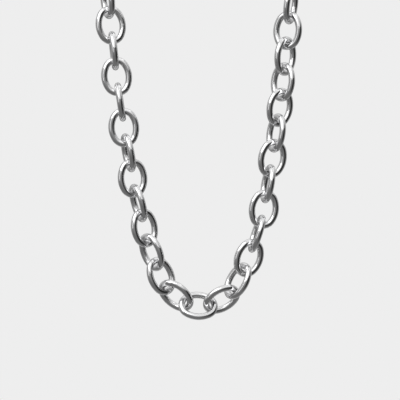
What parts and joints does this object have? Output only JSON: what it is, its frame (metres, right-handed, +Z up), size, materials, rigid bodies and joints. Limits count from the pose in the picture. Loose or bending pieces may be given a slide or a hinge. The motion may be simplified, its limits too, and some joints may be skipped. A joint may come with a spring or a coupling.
{
  "type": "cable chain necklace",
  "caption": "Polished oval-link cable chain necklace that hangs in a narrow U and closes at the nape with a bolt ring clasp.",
  "frame": {"origin": "middle of the clasp's inner face, where the necklace hangs at the nape of a neck", "axes": "+Z up, +X to the right seen from the front, the front of the necklace faces -Y"},
  "size_m": [0.1226, 0.1143, 0.2193],
  "materials": {
    "polished_steel": "polished stainless steel, bright with faint drawing marks"
  },
  "bodies": {
    "root": {"left_chain": "polished_steel", "right_chain": "polished_steel", "clasp": "polished_steel"}
  },
  "joints": []
}
